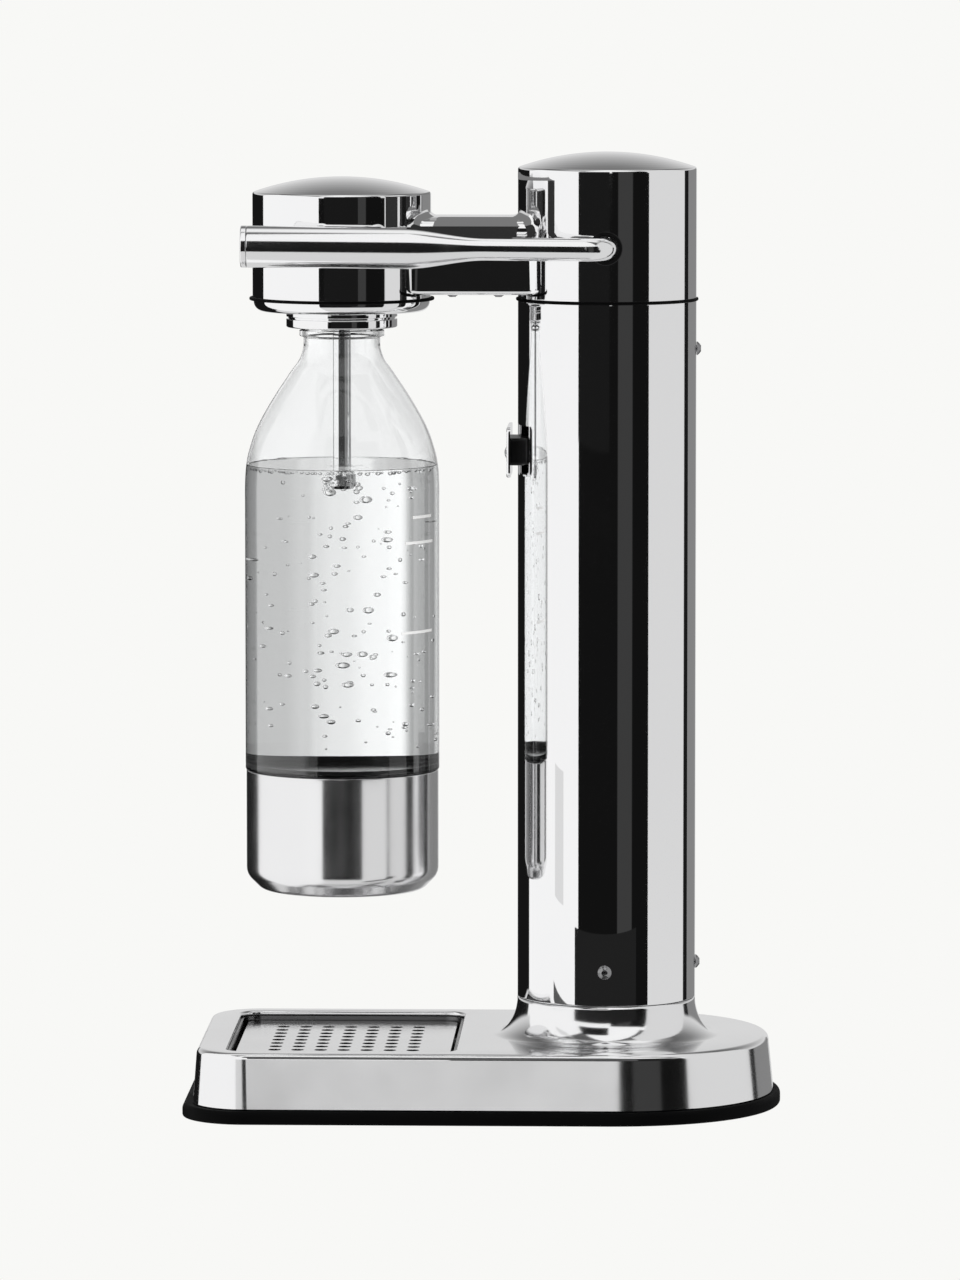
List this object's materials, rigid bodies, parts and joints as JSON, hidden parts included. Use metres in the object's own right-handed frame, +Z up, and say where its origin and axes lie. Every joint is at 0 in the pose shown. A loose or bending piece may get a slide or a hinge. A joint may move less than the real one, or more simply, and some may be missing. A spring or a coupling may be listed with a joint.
{
  "type": "soda carbonator",
  "caption": "Manual soda maker: steel column on a low base with drip tray, arm and head over a clear bottle, and a side lever that presses the gas valve.",
  "frame": {"origin": "centre of the footprint, on the floor", "axes": "+Z up, front (bottle and tray) towards -Y, column towards +Y, lever on +X"},
  "size_m": [0.153, 0.258, 0.414],
  "materials": {
    "polished_steel": "mirror polished stainless steel",
    "black_rubber": "matte",
    "black_plastic": "fine moulded",
    "zinc_steel": "plated, satin",
    "brass": "turned",
    "cylinder_aluminium": "satin",
    "clear_bottle": "clear moulded PET, glossy"
  },
  "bodies": {
    "root": {"base_shell": "polished_steel", "drip_pan": "polished_steel", "column_tube": "polished_steel", "top_shell": "polished_steel", "arm_cover": "polished_steel", "front_badge": "polished_steel", "badge_rivet_left": "polished_steel", "badge_rivet_right": "polished_steel", "head_lower_cap": "polished_steel", "nozzle_tube": "polished_steel", "nozzle_tip": "polished_steel", "bottle_collar": "polished_steel", "base_foot": "black_rubber", "column_gasket": "black_rubber", "head_gasket": "black_rubber", "bottle_seal": "black_rubber", "base_plate": "black_plastic", "cylinder_guide": "black_plastic", "lever_bushing": "black_plastic", "shaft_bearing": "black_plastic", "nozzle_carrier": "black_plastic", "base_post_1": "zinc_steel", "base_post_2": "zinc_steel", "base_post_3": "zinc_steel", "base_post_4": "zinc_steel", "base_screw_1": "zinc_steel", "base_screw_2": "zinc_steel", "base_screw_3": "zinc_steel", "base_screw_4": "zinc_steel", "column_socket": "zinc_steel", "valve_carrier": "zinc_steel", "column_screw_right": "zinc_steel", "column_screw_left": "zinc_steel", "column_screw_rear_low": "zinc_steel", "column_screw_rear_high": "zinc_steel", "arm_screw_front": "zinc_steel", "arm_screw_rear": "zinc_steel", "arm_brace": "zinc_steel", "plunger_spring": "zinc_steel", "gas_pipe": "zinc_steel", "valve_body": "brass", "relief_valve": "brass"},
    "lever": {"lever_rod": "polished_steel", "lever_end_cap": "polished_steel", "lever_cam": "zinc_steel"},
    "plunger": {"valve_plunger": "zinc_steel"},
    "grille": {"drip_grille": "polished_steel"},
    "bottle": {"bottle_shell": "clear_bottle", "bottle_band": "black_plastic", "bottle_cup": "polished_steel"},
    "cylinder": {"cylinder_shell": "cylinder_aluminium", "cylinder_valve": "brass"}
  },
  "joints": [
    {"name": "lever_press", "type": "hinge", "parent": "root", "child": "lever", "pos_m": [0, 0.053, 0.374], "axis": [1, 0, 0], "range_deg": [0, 28], "stiffness_Nm_per_rad": 1.5, "springref_deg": -20.05},
    {"name": "plunger_press", "type": "slide", "parent": "root", "child": "plunger", "axis": [0, 0, -1], "range_m": [0, 0.003], "stiffness_N_per_m": 400, "springref_m": -0.002, "deforming": ["plunger_spring"]},
    {"name": "grille_lift", "type": "slide", "parent": "root", "child": "grille", "axis": [0, 0, 1], "range_m": [0, 0.01]},
    {"name": "bottle_lower", "type": "slide", "parent": "root", "child": "bottle", "axis": [0, 0, -1], "range_m": [0, 0.052]},
    {"name": "cylinder_withdraw", "type": "slide", "parent": "root", "child": "cylinder", "axis": [0, 0, -1], "range_m": [0, 0.35]}
  ],
  "couplings": [
    {"joint": "plunger_press", "follows": "lever_press", "m_per_rad": 0.0061}
  ]
}
